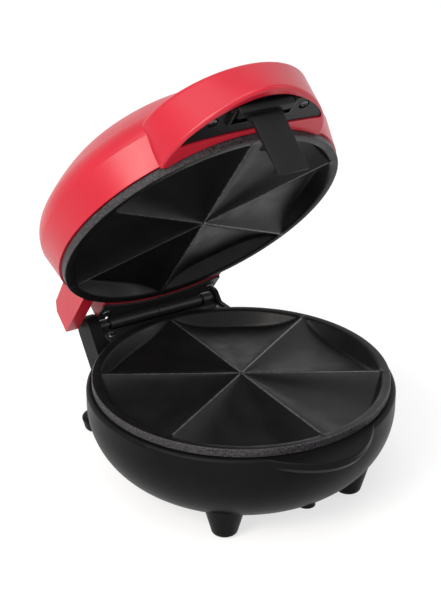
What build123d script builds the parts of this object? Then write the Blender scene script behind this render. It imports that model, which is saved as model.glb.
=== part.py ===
"""Round quesadilla maker: a black base and a red lid, each with a cast plate of six wedge
wells, hinged at the back and latched at the front. Millimetres, +Z up.

Every piece is drawn in a working frame whose origin is the middle of the face where the two
plates meet, with +X to the right, +Y to the hinge and -Y to the handle. Lid pieces are drawn
closed. At the end the lid is swung open and the whole thing is lifted to stand on z = 0.
"""

import os
from math import asin, cos, degrees, radians, sin, tan

from build123d import *

# ---- overall ----
plate_radius = 110.0  # outside of both cooking plates
meeting_height = 85.0  # from the floor to the face where the plates meet
lid_open = 52.0  # how far the lid stands open, degrees
box_shift = -12.859  # from the middle of the box round the whole thing to the plates' axis, along Y
plate_gap = 0.3  # left between the plates when the lid is closed

# ---- cooking plates ----
rim_width = 6.0
rim_height = 6.0
plate_wall = 3.2
well_count = 6
well_depth = 12.0
ridge_width = 3.6
hub_radius = 9.0
thermostat_seat_radius = 9.8
seat_ring_radius = 58.0  # the ring under the plate that the element lies in
seat_ring_width = 15.0
boss_circle = 88.0
boss_radius = 5.0
boss_angle = 30.0  # the first of three bosses, counted from +X

# ---- heating elements ----
element_radius = 3.3
element_gap_angle = 22.0  # left open between the element's two ends, at the back
element_leg = 16.0
slack = 0.2  # between pieces that lie in or on one another
seat_depth = well_depth + plate_wall + 0.3
element_depth = seat_depth + 0.3
reflector_depth = element_depth + element_radius + slack
reflector_wall = 0.8
reflector_radius = 101.0
reflector_lip = 6.0

# ---- base housing ----
wall = 2.6
base_radius = 114.2
base_lip_drop = 7.0  # from the meeting face to the lip round the lower plate
base_lip_radius = 112.0
base_mouth_radius = 104.5
base_side_top = 10.0
base_side_bottom = 20.0
belly_radius = 55.7
belly_drop = 71.0  # from the meeting face to the flat bottom
cover_radius = 78.5
cover_wall = 2.2
cover_ledge_radius = 68.0
cover_screw_circle = 73.0
front_foot = (54.0, -64.5)
rear_foot = (62.5, 113.0)
foot_radius = 9.1
foot_taper = 0.27
foot_round = 3.0
rear_foot_top = -71.5
rear_leg = (61.0, 107.5, 8.5)  # x, y and radius of a rear leg where it enters its foot
foot_pad_radius = 6.4
foot_pad_height = 3.0
foot_pad_proud = 1.0
ledge_reach = 131.5  # the catch under the handle, from the plates' axis
ledge_half_width = 45.0
ledge_top = -6.6
ledge_bottom = -15.0
catch_bevel = 3.4  # how far the catch's lower edge is cut back

# ---- hinge ----
hinge_back = 128.5
hinge_drop = 4.7
pin_radius = 2.0
pin_fit = 0.1
barrel_radius = 5.0
barrel_half_length = 41.0
knuckle_inner = 43.5
leaf_half_width = 52.5
leaf_wall = 1.6
leaf_front = 112.6
leaf_rear = 121.5
hinge_screw = (47.0, 113.5)
ear_inner = 53.0
left_ear = (10.0, 11.0)  # width and radius: a broad arm
right_ear = (3.5, 7.5)  # a thin cheek
right_ear_top = -5.0
ear_foot = (101.5, -40.0, 11.0)  # y, z and radius of the lower end of both ears
ear_skin = 1.2  # left outside the two ends of the hinge pin
shelf_top = -8.0
shelf_rear = 121.0
cord_height = -25.0
gland_radius = 6.2
cord_bore_radius = 3.6

# ---- lid shell ----
skirt_radius = 111.6
skirt_rise = 6.8  # from the meeting face to the shell's lower edge
flange_room = 0.6  # between the upper plate's flange and what goes round it
lid_radius = 115.7
lid_side_top = 30.0
shoulder_radius = 22.0
shoulder_turn = 46.0
flank_radius = 169.0
flank_turn = 10.0
brow_radius = 40.0
brow_turn = 29.0
lug_inner = 64.5
lug_width = 11.0
lug_rear = 133.0
lug_height = 25.0

# ---- handle, its insert and the latch ----
grip_tilt = 6.5  # the handle's underside rises to the front, degrees
grip_rise = 3.7  # from the meeting face to the underside, at the handle's root
grip_root = -92.0  # the handle's outline starts inside the drum, at this y
grip_side = (66.0, 66.5, -118.0)  # half width at the root and at the shoulder, and the shoulder's y
grip_front = -157.5  # foremost point of the underside
grip_lead = 28.0  # how far the front runs on nearly straight, to each side
grip_top_height = 40.5
grip_top_front = -145.5
grip_top_lead = 38.0
grip_top_round = 4.0
grip_edge_round = 2.5
grip_wall = 3.0
grip_hollow_levels = ((21.0, -149.5), (36.0, -143.5))  # height and foremost point
insert_recess = 1.0
insert_wall = 2.4
insert_tip = (56.5, -112.5)
insert_front = -149.5
insert_fit = 0.3
insert_screw = (36.6, -130.0)
latch_pivot = (-140.0, 10.0)  # y and z
latch_pin_radius = 1.5
head_half_width = 22.5
head_front = -144.0
head_bottom = 3.5
head_top = 13.0
strap_half_width = 12.5
strap_front = -137.0
strap_wall = 2.8
strap_drop = 42.0
hook_bite = 2.4
cheek_gap = 1.0
cheek_wall = 2.0
roof_height = 17.5

small_screw = 1.7  # shank radius
lens_radius = 3.4
middle_axis = Axis.Z
section = Plane.XZ  # x is the radius, y is the height
boss_places = PolarLocations(boss_circle, 3, start_angle=boss_angle)
cover_places = PolarLocations(cover_screw_circle, 4)
ring_start = 90 + element_gap_angle / 2
element_ends = PolarLocations(
    seat_ring_radius, 2, start_angle=ring_start, angular_range=-element_gap_angle, endpoint=True
)


def pan_screw(shank_radius, shank_length, head_radius, head_height):
    """A pan-head screw standing on its seat at z = 0, with its shank along -Z."""
    with BuildPart() as screw:
        Cylinder(head_radius, head_height, align=(Align.CENTER, Align.CENTER, Align.MIN))
        fillet(screw.edges().group_by(Axis.Z)[-1], head_height * 0.45)
        Cylinder(shank_radius, shank_length, align=(Align.CENTER, Align.CENTER, Align.MAX))
    return screw.part


def rod(radius, length, mode=Mode.ADD):
    """A rod standing up from the current place."""
    return Cylinder(radius, length, align=(Align.CENTER, Align.CENTER, Align.MIN), mode=mode)


def facing_down(x, y, z):
    """The place of a screw whose head looks at the floor."""
    return Location((x, y, z), (180, 0, 0))


def feet(place, top):
    """A pair of round feet, left and right, that widen upwards to top."""
    height = meeting_height + top - foot_pad_proud
    with BuildPart() as foot:
        Cone(
            foot_radius,
            foot_radius + foot_taper * height,
            height,
            align=(Align.CENTER, Align.CENTER, Align.MIN),
        )
        fillet(foot.edges().filter_by(GeomType.CIRCLE), foot_round)
    with BuildPart() as pair:
        with Locations((place[0], place[1], top - height), (-place[0], place[1], top - height)):
            add(foot.part)
    return pair.part


def wedge_wells(drop, spread):
    """Six wedge troughs, lowered by drop, with the outer wall spread out to the rim."""
    apex = ridge_width / 2 / sin(radians(180 / well_count))
    deepest_at = plate_radius - rim_width - well_depth
    fall = well_depth / (deepest_at - apex)
    outer = plate_radius - rim_width + spread
    depth = well_depth + drop + plate_wall
    with BuildPart() as trough:
        for reach in (hub_radius, plate_radius + plate_wall):
            half_width = (reach - apex) * tan(radians(180 / well_count))
            with BuildSketch(Plane.YZ.offset(reach)):
                with BuildLine():
                    floor = ThreePointArc(
                        (-half_width, -drop), (0, -drop - (reach - apex) * fall), (half_width, -drop)
                    )
                    Polyline(floor @ 1, (half_width, 1), (-half_width, 1), floor @ 0)
                make_face()
        loft(ruled=True)
        with BuildSketch(section):
            with BuildLine():
                Polyline((0, 1), (outer + 1, 1), (outer - depth, -depth), (0, -depth), (0, 1))
            make_face()
        revolve(axis=middle_axis, mode=Mode.INTERSECT)
    with BuildPart() as wells:
        with PolarLocations(0, well_count):
            add(trough.part)
    return wells.part


# ---- lower plate: flat rim, six wells, a seat ring for the element and three bosses ----
with BuildPart() as lower_plate:
    with BuildSketch(section):
        with BuildLine():
            Polyline(
                (0, 0),
                (plate_radius, 0),
                (plate_radius, -rim_height),
                (plate_radius - rim_width, -rim_height),
                (plate_radius - rim_width, -plate_wall),
                (0, -plate_wall),
                (0, 0),
            )
        make_face()
    revolve(axis=middle_axis)
    chamfer(lower_plate.edges().group_by(Axis.Z)[-1], 0.6)
    add(wedge_wells(plate_wall, plate_wall / sin(radians(45))))
    with BuildSketch(Plane.XY.offset(-seat_depth)):
        Circle(seat_ring_radius + seat_ring_width / 2)
        Circle(seat_ring_radius - seat_ring_width / 2, mode=Mode.SUBTRACT)
        Circle(thermostat_seat_radius)
    extrude(amount=seat_depth - plate_wall / 2)
    with boss_places:
        with Locations((0, 0, -reflector_depth)):
            rod(boss_radius, reflector_depth - plate_wall / 2)
    add(wedge_wells(0, 0), mode=Mode.SUBTRACT)
    with BuildSketch(section):
        with Locations((seat_ring_radius, -element_depth)):
            Circle(element_radius + slack)
    revolve(axis=middle_axis, mode=Mode.SUBTRACT)
    with boss_places:
        with Locations((0, 0, -reflector_depth)):
            rod(small_screw + pin_fit, reflector_depth - 8, mode=Mode.SUBTRACT)

# ---- lower element: a tubular ring whose ends turn down through the reflector ----
with BuildPart() as lower_element:
    with BuildSketch(Plane.XZ.rotated((0, 0, ring_start))):
        with Locations((seat_ring_radius, -element_depth)):
            Circle(element_radius)
    revolve(axis=middle_axis, revolution_arc=360 - element_gap_angle)
    with element_ends:
        with Locations((0, 0, -element_depth)):
            Sphere(element_radius)
        with Locations((0, 0, -element_depth - element_leg)):
            rod(element_radius, element_leg)
        with Locations((0, 0, -element_depth - element_leg - 7)):
            rod(1.2, 8)

# ---- lower reflector: a sheet dish under the element ----
with BuildPart() as lower_reflector:
    floor_radius = reflector_radius - reflector_lip / 2
    with BuildSketch(section):
        with BuildLine():
            Polyline(
                (0, -reflector_depth),
                (floor_radius, -reflector_depth),
                (reflector_radius, -reflector_depth + reflector_lip),
                (reflector_radius + reflector_wall, -reflector_depth + reflector_lip),
                (floor_radius + reflector_wall, -reflector_depth - reflector_wall),
                (0, -reflector_depth - reflector_wall),
                (0, -reflector_depth),
            )
        make_face()
    revolve(axis=middle_axis)
    with BuildSketch(Plane.XY.offset(-reflector_depth - reflector_wall)):
        with boss_places:
            Circle(small_screw + pin_fit)
        with element_ends:
            Circle(element_radius + 1)
        Circle(hub_radius + 1)
    extrude(amount=reflector_wall, mode=Mode.SUBTRACT)

post_top = -reflector_depth - reflector_wall
post_web = 3.0
plate_screw = pan_screw(small_screw, reflector_wall + post_web + 9, 3.6, 2.4)
with BuildPart() as lower_plate_screws:
    with boss_places:
        with Locations(facing_down(0, 0, post_top - post_web)):
            add(plate_screw)

# ---- thermostat: a disc held against the hub of the lower plate, with two tabs ----
with BuildPart() as thermostat:
    with Locations((0, 0, -seat_depth - 12)):
        rod(hub_radius - 1.5, 12)
    with Locations((0, 0, -seat_depth - 17)):
        rod(hub_radius - 4, 5)
    with Locations((-3, 0, -seat_depth - 20), (3, 0, -seat_depth - 20)):
        Box(0.8, 5, 12)

# ---- thermal fuse: a barrel lying in its clip under the reflector ----
fuse_radius = 2.4
with BuildPart() as thermal_fuse:
    with Locations((35, 0, post_top - fuse_radius - 0.8)):
        Cylinder(fuse_radius, 16, rotation=(90, 0, 0))
        Cylinder(0.6, 34, rotation=(90, 0, 0))
    with Locations((35, 0, post_top - 0.4)):
        Box(7, 8, 0.8)

# ---- base housing ----
pin_left = ear_skin - ear_inner - left_ear[0]
pin_right = ear_inner + right_ear[0] - ear_skin
side_bottom = (base_radius, -base_side_bottom)
with BuildPart() as base_housing:
    with BuildSketch(section):
        with BuildLine():
            belly = JernArc(
                side_bottom,
                (0, -1),
                belly_radius,
                -degrees(asin((belly_drop - base_side_bottom) / belly_radius)),
            )
            side = Line(side_bottom, (base_radius, -base_side_top))
            brim = TangentArc(side @ 1, (base_lip_radius, -base_lip_drop), tangent=(0, 1))
            Polyline(brim @ 1, (0, -base_lip_drop), (0, -belly_drop), belly @ 1)
        make_face()
    revolve(axis=middle_axis)

    # the crescent catch under the handle
    with BuildSketch(Plane.XY.offset(ledge_bottom)):
        with BuildLine():
            root = -base_radius + 10
            catch = Bezier(
                (-ledge_half_width, root), (0, -2 * ledge_reach - root), (ledge_half_width, root)
            )
            Line(catch @ 1, catch @ 0)
        make_face()
    extrude(amount=ledge_top - ledge_bottom)
    catch_edges = base_housing.edges().filter_by(GeomType.BEZIER)
    chamfer(catch_edges.group_by(Axis.Z)[0], catch_bevel, 2.2)
    fillet(base_housing.edges().filter_by(GeomType.BEZIER).group_by(Axis.Z)[-1], 1.2)

    # the shelf behind the plate that carries the hinge
    with BuildSketch(Plane.YZ.offset(-ear_inner - 1)):
        with BuildLine():
            Polyline(
                (90, shelf_top),
                (shelf_rear, shelf_top),
                (shelf_rear, -40),
                (shelf_rear - 20, -56),
                (90, -56),
                (90, shelf_top),
            )
        make_face()
    extrude(amount=2 * ear_inner + 2)

    # the two ears that carry the hinge pin, each drawn down to a rear leg
    for side_sign, (ear_width, ear_radius) in ((-1, left_ear), (1, right_ear)):
        ear_middle = side_sign * (ear_inner + ear_width / 2)
        with BuildSketch(Plane.YZ.offset(ear_middle)):
            with Locations((hinge_back, -hinge_drop)):
                Circle(ear_radius)
            with Locations(ear_foot[:2]):
                Circle(ear_foot[2])
            make_hull()
        extrude(amount=ear_width / 2, both=True)
        with BuildSketch(Plane.XY.offset(rear_foot_top - 2)):
            with Locations((side_sign * rear_leg[0], rear_leg[1])):
                Circle(rear_leg[2])
        with BuildSketch(Plane.XY.offset(ear_foot[1])):
            with Locations((ear_middle, ear_foot[0])):
                RectangleRounded(ear_width + 1, 2 * ear_foot[2], ear_width / 3)
        loft()
    with BuildSketch(Plane.YZ.offset(ear_inner)):
        with Locations((hinge_back, right_ear_top)):
            Rectangle(30, 35, align=(Align.MAX, Align.MAX))
    extrude(amount=right_ear[0])

    # four tapered feet
    add(feet(front_foot, -56))
    add(feet(rear_foot, rear_foot_top))

    # the hollow inside, its mouth, the hollow of the shelf and the seat of the bottom cover
    ledge_z = -belly_drop + cover_wall
    hollow_floor = ledge_z + wall
    with BuildSketch(section):
        with BuildLine():
            inner_belly = JernArc(
                (base_radius - wall, -base_side_bottom),
                (0, -1),
                belly_radius - wall,
                -degrees(asin((-hollow_floor - base_side_bottom) / (belly_radius - wall))),
            )
            Polyline(
                inner_belly @ 0,
                (base_radius - wall, -base_lip_drop - wall),
                (base_mouth_radius, -base_lip_drop - wall),
                (base_mouth_radius, 1),
                (0, 1),
                (0, -belly_drop),
                (cover_radius + 0.3, -belly_drop),
                (cover_radius + 0.3, ledge_z),
                (cover_ledge_radius, ledge_z),
                (cover_ledge_radius, hollow_floor),
                inner_belly @ 1,
            )
        make_face()
    revolve(axis=middle_axis, mode=Mode.SUBTRACT)
    with BuildSketch(Plane.YZ.offset(-ear_inner + wall)):
        with BuildLine():
            Polyline(
                (90, shelf_top - wall),
                (shelf_rear - wall, shelf_top - wall),
                (shelf_rear - wall, -39),
                (shelf_rear - 20, -53),
                (90, -53),
                (90, shelf_top - wall),
            )
        make_face()
    extrude(amount=2 * (ear_inner - wall), mode=Mode.SUBTRACT)
    # the mouth stays round where the shelf's hollow crosses the lip
    with BuildSketch(section):
        with Locations(((base_mouth_radius + base_lip_radius) / 2, -base_lip_drop - wall / 2)):
            Rectangle(base_lip_radius - base_mouth_radius, wall)
    revolve(axis=middle_axis)

    # posts under the lower plate, and bosses for the cover's and the hinge's screws
    with boss_places:
        with Locations((0, 0, -belly_drop + 5)):
            rod(6.6, post_top + belly_drop - 5)
    with cover_places:
        with Locations((0, 0, ledge_z)):
            rod(3.6, 12)
    for side_sign in (-1, 1):
        with Locations((side_sign * hinge_screw[0], hinge_screw[1], shelf_top - 12)):
            rod(4, 11)

    with boss_places:
        with Locations((0, 0, -belly_drop - 1)):
            rod(4.2, post_top - post_web + belly_drop + 1, mode=Mode.SUBTRACT)
        with Locations((0, 0, post_top - post_web - 1)):
            rod(small_screw + pin_fit, post_web + 2, mode=Mode.SUBTRACT)
    with cover_places:
        with Locations((0, 0, ledge_z - 1)):
            rod(small_screw + pin_fit, 10, mode=Mode.SUBTRACT)
    for side_sign in (-1, 1):
        with Locations((side_sign * hinge_screw[0], hinge_screw[1], shelf_top - 10)):
            rod(small_screw + pin_fit, 11, mode=Mode.SUBTRACT)
    with BuildSketch(Plane.YZ.offset(pin_left)):
        with Locations((hinge_back, -hinge_drop)):
            Circle(pin_radius + pin_fit)
    extrude(amount=pin_right - pin_left, mode=Mode.SUBTRACT)
    for foot_x, foot_y in (front_foot, rear_foot):
        with Locations((foot_x, foot_y, -meeting_height), (-foot_x, foot_y, -meeting_height)):
            rod(foot_pad_radius + pin_fit, foot_pad_height, mode=Mode.SUBTRACT)
    # the way in for the cord, in the back of the shelf
    with Locations((0, shelf_rear - wall / 2, cord_height)):
        Cylinder(gland_radius + pin_fit, wall + 2, rotation=(90, 0, 0), mode=Mode.SUBTRACT)

with BuildPart() as foot_pads:
    for foot_x, foot_y in (front_foot, rear_foot):
        with Locations((foot_x, foot_y, -meeting_height), (-foot_x, foot_y, -meeting_height)):
            rod(foot_pad_radius, foot_pad_height)

# ---- cord gland: a flanged bush through the back, bored for the cord ----
with BuildPart() as cord_gland:
    with BuildSketch(Plane.XZ.offset(-shelf_rear + wall)):
        with Locations((0, cord_height)):
            Circle(gland_radius)
    extrude(amount=-wall)
    with BuildSketch(Plane.XZ.offset(-shelf_rear)):
        with Locations((0, cord_height)):
            Circle(gland_radius + 2)
    extrude(amount=-2.4)
    with BuildSketch(Plane.XZ.offset(-shelf_rear + wall)):
        with Locations((0, cord_height)):
            Circle(gland_radius + 1.6)
    extrude(amount=4)
    with Locations((0, shelf_rear, cord_height)):
        Cylinder(cord_bore_radius, 40, rotation=(90, 0, 0), mode=Mode.SUBTRACT)

# ---- bottom cover with its vent slots, and its four screws ----
with BuildPart() as base_cover:
    with BuildSketch(Plane.XY.offset(-belly_drop)):
        Circle(cover_radius)
        with PolarLocations(36, 12):
            SlotOverall(26, 4, mode=Mode.SUBTRACT)
        with cover_places:
            Circle(small_screw + pin_fit, mode=Mode.SUBTRACT)
    extrude(amount=cover_wall)

cover_screw = pan_screw(small_screw, 8, 3.2, 2.0)
with BuildPart() as cover_screws:
    with cover_places:
        with Locations(facing_down(0, 0, -belly_drop)):
            add(cover_screw)

# ---- terminal block standing on the bottom cover ----
with BuildPart() as terminal_block:
    with Locations((0, 56, ledge_z)):
        Box(34, 9, 13, align=(Align.CENTER, Align.CENTER, Align.MIN))
    with GridLocations(11, 1, 3, 1):
        with Locations((0, 56, ledge_z + 8)):
            rod(2.4, 8, mode=Mode.SUBTRACT)

# ---- hinge bracket on the base: a leaf and two end knuckles ----
with BuildPart() as hinge_bracket:
    with BuildSketch(Plane.XY.offset(shelf_top)):
        with Locations((0, shelf_rear)):
            Rectangle(2 * leaf_half_width, 22, align=(Align.CENTER, Align.MAX))
        for side_sign in (-1, 1):
            with Locations((side_sign * (leaf_half_width + knuckle_inner) / 2, hinge_back)):
                Rectangle(leaf_half_width - knuckle_inner, 30, align=(Align.CENTER, Align.MAX))
        Circle(base_radius + slack, mode=Mode.SUBTRACT)
        for side_sign in (-1, 1):
            with Locations((side_sign * hinge_screw[0], hinge_screw[1])):
                Circle(small_screw + pin_fit, mode=Mode.SUBTRACT)
    extrude(amount=leaf_wall)
    for side_sign in (-1, 1):
        with Locations((side_sign * (leaf_half_width + knuckle_inner) / 2, hinge_back, -hinge_drop)):
            Cylinder(barrel_radius, leaf_half_width - knuckle_inner, rotation=(0, 90, 0))
    with Locations((0, hinge_back, -hinge_drop)):
        Cylinder(pin_radius + pin_fit, 2 * ear_inner, rotation=(0, 90, 0), mode=Mode.SUBTRACT)

hinge_screw_shape = pan_screw(small_screw, leaf_wall + 7, 3.4, 1.6)
with BuildPart() as hinge_base_screws:
    for side_sign in (-1, 1):
        with Locations((side_sign * hinge_screw[0], hinge_screw[1], shelf_top + leaf_wall)):
            add(hinge_screw_shape)

with BuildPart() as hinge_pin:
    with BuildSketch(Plane.YZ.offset(pin_left + slack)):
        with Locations((hinge_back, -hinge_drop)):
            Circle(pin_radius)
    extrude(amount=pin_right - pin_left - 2 * slack)

# ---- hinge leaf on the lid: the long middle barrel, sawn part way at its middle ----
leaf_top = barrel_radius - hinge_drop
with BuildPart() as lid_hinge_leaf:
    with BuildSketch(Plane.XY.offset(leaf_top - leaf_wall)):
        with Locations((0, leaf_rear)):
            Rectangle(2 * leaf_half_width, 20, align=(Align.CENTER, Align.MAX))
        with Locations((0, hinge_back)):
            Rectangle(2 * barrel_half_length, 20, align=(Align.CENTER, Align.MAX))
        Circle(leaf_front, mode=Mode.SUBTRACT)
        for side_sign in (-1, 1):
            with Locations((side_sign * hinge_screw[0], hinge_screw[1])):
                Circle(small_screw + pin_fit, mode=Mode.SUBTRACT)
    extrude(amount=leaf_wall)
    with Locations((0, hinge_back, -hinge_drop)):
        Cylinder(barrel_radius, 2 * barrel_half_length, rotation=(0, 90, 0))
        Cylinder(pin_radius + pin_fit, 2 * barrel_half_length, rotation=(0, 90, 0), mode=Mode.SUBTRACT)
    with BuildSketch(Plane.YZ.offset(1.7)):
        with Locations((hinge_back, -hinge_drop)):
            Circle(barrel_radius + 1)
            Circle(barrel_radius - 1, mode=Mode.SUBTRACT)
            Rectangle(20, 20, align=(Align.CENTER, Align.MIN), mode=Mode.SUBTRACT)
    extrude(amount=0.6, mode=Mode.SUBTRACT)

with BuildPart() as hinge_lid_screws:
    for side_sign in (-1, 1):
        with Locations(facing_down(side_sign * hinge_screw[0], hinge_screw[1], leaf_top - leaf_wall)):
            add(hinge_screw_shape)


# ---- lid shell ----
def drum_profile(inset, lower_edge):
    """Half the drum's section, drawn inset from the outside, down to lower_edge."""
    crown_slope = 90 - shoulder_turn - flank_turn - brow_turn
    with BuildSketch(section) as half:
        with BuildLine():
            rise = Line((skirt_radius - inset, lower_edge), (lid_radius - inset, lid_side_top))
            shoulder = JernArc(rise @ 1, (0, 1), shoulder_radius - inset, shoulder_turn)
            flank = JernArc(shoulder @ 1, shoulder % 1, flank_radius - inset, flank_turn)
            brow = JernArc(flank @ 1, flank % 1, brow_radius - inset, brow_turn)
            edge = brow @ 1
            crown_top = edge.Y + edge.X * tan(radians(crown_slope / 2))
            crown = TangentArc(edge, (0, crown_top), tangent=brow % 1)
            Polyline(crown @ 1, (0, lower_edge), rise @ 0)
        make_face()
    return half.sketch


grip_slope = radians(grip_tilt)


def grip_plane(lift):
    """The plane of the handle's underside, lifted straight up."""
    height = grip_rise + grip_root * tan(grip_slope) + lift
    return Plane((0, 0, height), (1, 0, 0), (0, sin(grip_slope), cos(grip_slope)))


def bow(plane, side, shoulder, front, lead, back=None):
    """A level of the handle: out from one side, round the front and back to the other.

    side and shoulder are points on the right; back is the middle of an arc that closes the level,
    and without it the level is closed by a chord.
    """
    with BuildSketch(plane) as level:
        with BuildLine():
            left_side, left_shoulder = (-side[0], side[1]), (-shoulder[0], shoulder[1])
            left = Bezier(left_side, left_shoulder, (-lead, front), (0, front))
            right = Bezier((0, front), (lead, front), shoulder, side)
            if back is None:
                Line(right @ 1, left @ 0)
            else:
                ThreePointArc(right @ 1, (0, back), left @ 0)
        make_face()
    return level.sketch


def hollow_level(plane, front, fit, stretch=1.0):
    """A level of the crescent that the insert fills, let out by fit."""
    tip = (insert_tip[0] + fit, (insert_tip[1] + fit) * stretch)
    shoulder = (insert_tip[0] + 1 + fit, (insert_tip[1] - 8.5) * stretch)
    return bow(plane, tip, shoulder, (front - fit) * stretch, grip_lead, (ring_edge + fit) * stretch)


ring_edge = -skirt_radius - 4.0  # the ring between the drum's mouth and the insert
along_grip = 1 / cos(grip_slope)  # stretches y where a level lies in the grip plane

with BuildPart() as grip:
    add(
        bow(
            grip_plane(0),
            (grip_side[0], grip_root * along_grip),
            (grip_side[1], grip_side[2] * along_grip),
            grip_front * along_grip,
            grip_lead,
        )
    )
    add(
        bow(
            Plane.XY.offset(grip_top_height),
            (grip_side[0], grip_root),
            grip_side[1:],
            grip_top_front,
            grip_top_lead,
        )
    )
    loft(ruled=True)
    top_face = grip.faces().sort_by(Axis.Z)[-1]
    fillet(top_face.edges().filter_by(GeomType.BSPLINE), grip_top_round)
    low_face = grip.faces().sort_by(Axis.Z)[0]
    fillet(low_face.edges().filter_by(GeomType.BSPLINE), grip_edge_round)

with BuildPart() as lid_shell:
    add(drum_profile(0, skirt_rise))
    revolve(axis=middle_axis)
    add(grip.part)

    # the seat of the hinge leaf and the lug outside the base's left ear
    with BuildSketch(Plane.YZ.offset(-leaf_half_width)):
        with BuildLine():
            Polyline(
                (92, leaf_top), (leaf_rear, leaf_top), (leaf_rear, 16), (112, 24), (92, 24), (92, leaf_top)
            )
        make_face()
    extrude(amount=2 * leaf_half_width)
    with BuildSketch(Plane.YZ.offset(-lug_inner - lug_width)):
        with BuildLine():
            Polyline((80, 0.5), (lug_rear, 0), (lug_rear, 19), (127, lug_height), (80, 29), (80, 0.5))
        make_face()
    extrude(amount=lug_width)
    outside = lid_shell.part

    add(drum_profile(wall, skirt_rise))
    revolve(axis=middle_axis, mode=Mode.SUBTRACT)
    with Locations((0, 0, -5)):
        rod(plate_radius + flange_room, rim_height + plate_gap + 0.3 + 5, mode=Mode.SUBTRACT)
        rod(skirt_radius - wall, skirt_rise + 10, mode=Mode.SUBTRACT)
    # the hollow of the handle, open below
    add(hollow_level(grip_plane(-3), insert_front, insert_fit, along_grip))
    for height, front in grip_hollow_levels:
        add(hollow_level(Plane.XY.offset(height), front, insert_fit))
    loft(ruled=True, mode=Mode.SUBTRACT)
    # the lug is cored from inside the drum
    with Locations((-lug_inner - lug_width / 2, lug_rear - 3, 11)):
        Box(lug_width - 5, 50, 15, align=(Align.CENTER, Align.MAX, Align.CENTER), mode=Mode.SUBTRACT)

# posts against the upper reflector, and bosses for the insert's screws and the lamp plate
reflector_back = -post_top + plate_gap
insert_top = (
    grip_rise + (grip_root - insert_screw[1]) * tan(grip_slope) + insert_recess + insert_wall
)
insert_boss_foot = insert_top + 0.6
lamp_plate_height = 60.0
lamp_place = (10.0, -54.0)
with BuildPart() as lid_posts:
    with boss_places:
        with Locations((0, 0, reflector_back)):
            rod(6.6, 60)
            rod(4.2, 4, mode=Mode.SUBTRACT)
    for x, y, foot in (
        (insert_screw[0], insert_screw[1], insert_boss_foot),
        (-insert_screw[0], insert_screw[1], insert_boss_foot),
        (0, latch_pivot[0] - 1, roof_height + cheek_wall),
    ):
        with Locations((x, y, foot)):
            rod(3.6, 30)
            rod(small_screw + pin_fit, 9, mode=Mode.SUBTRACT)
    with Locations(
        (lamp_place[0] + 8, lamp_place[1], lamp_plate_height + 2),
        (-lamp_place[0] - 8, lamp_place[1], lamp_plate_height + 2),
    ):
        rod(2.6, 20)
    add(outside, mode=Mode.INTERSECT)

with lid_shell:
    add(lid_posts.part)
    for side_sign in (-1, 1):
        with Locations((side_sign * hinge_screw[0], hinge_screw[1], leaf_top - 1)):
            rod(small_screw + pin_fit, 9, mode=Mode.SUBTRACT)
        with Locations((side_sign * lamp_place[0], lamp_place[1], lamp_plate_height)):
            rod(lens_radius + pin_fit, 20, mode=Mode.SUBTRACT)

# ---- what the lid holds, which mirrors the base ----
meeting_plane = Plane.XY.offset(plate_gap / 2)
with BuildPart() as upper_plate:
    mirror(lower_plate.part, about=meeting_plane)
with BuildPart() as upper_element:
    mirror(lower_element.part, about=meeting_plane)
with BuildPart() as upper_reflector:
    mirror(lower_reflector.part, about=meeting_plane)
short_screw = pan_screw(small_screw, reflector_wall + 9, 3.6, 2.4)
with BuildPart() as upper_plate_screws:
    with boss_places:
        with Locations((0, 0, reflector_back)):
            add(short_screw)

# ---- two indicator lamps under round lenses in the crown ----
lens_top = 73.0


def lens(side_sign):
    """A round lens through the crown, bored from below for its lamp."""
    with BuildPart() as shape:
        with Locations((side_sign * lamp_place[0], lamp_place[1], lamp_plate_height + 6)):
            rod(lens_radius, lens_top - lamp_plate_height - 6)
            fillet(shape.edges().group_by(Axis.Z)[-1], 1.2)
            rod(lens_radius + 1, 2.4)
            rod(2.4, 4, mode=Mode.SUBTRACT)
    return shape.part


with BuildPart() as power_lens:
    add(lens(-1))
with BuildPart() as ready_lens:
    add(lens(1))
with BuildPart() as lamp_plate:
    with Locations((0, lamp_place[1], lamp_plate_height)):
        Box(2 * lamp_place[0] + 22, 9, 2, align=(Align.CENTER, Align.CENTER, Align.MIN))
with BuildPart() as indicator_lamps:
    for side_sign in (-1, 1):
        with Locations((side_sign * lamp_place[0], lamp_place[1], lamp_plate_height + 2)):
            rod(2.0, 7)

# ---- handle insert: a crescent cover with a housing for the latch ----
cheek_inner = head_half_width + cheek_gap
cheek_outer = cheek_inner + cheek_wall
cheek_front = latch_pivot[0] - 2.4
cheek_rear = -126.0
with BuildPart() as handle_insert:
    add(hollow_level(grip_plane(insert_recess), insert_front, 0, along_grip))
    extrude(amount=insert_wall, dir=(0, 0, 1))
    with BuildSketch(Plane.XY.offset(latch_pivot[1] - 3.6)):
        with Locations((0, cheek_front)):
            Rectangle(2 * cheek_outer, cheek_rear - cheek_front, align=(Align.CENTER, Align.MIN))
    extrude(amount=roof_height + cheek_wall - latch_pivot[1] + 3.6)
    with BuildSketch(Plane.XY):
        with Locations((0, cheek_rear - cheek_wall)):
            Rectangle(2 * cheek_inner, 40, align=(Align.CENTER, Align.MAX))
    extrude(amount=roof_height, mode=Mode.SUBTRACT)
    with Locations((0, latch_pivot[0], latch_pivot[1])):
        Cylinder(latch_pin_radius + pin_fit, 4 * cheek_outer, rotation=(0, 90, 0), mode=Mode.SUBTRACT)
    screw_seat = insert_top - 1.2
    for side_sign in (-1, 1):
        with Locations((side_sign * insert_screw[0], insert_screw[1], 0)):
            rod(4.2, screw_seat, mode=Mode.SUBTRACT)
            rod(small_screw + pin_fit, 20, mode=Mode.SUBTRACT)
    with Locations((0, latch_pivot[0] - 1, roof_height - 1)):
        rod(small_screw + pin_fit, 5, mode=Mode.SUBTRACT)

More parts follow.
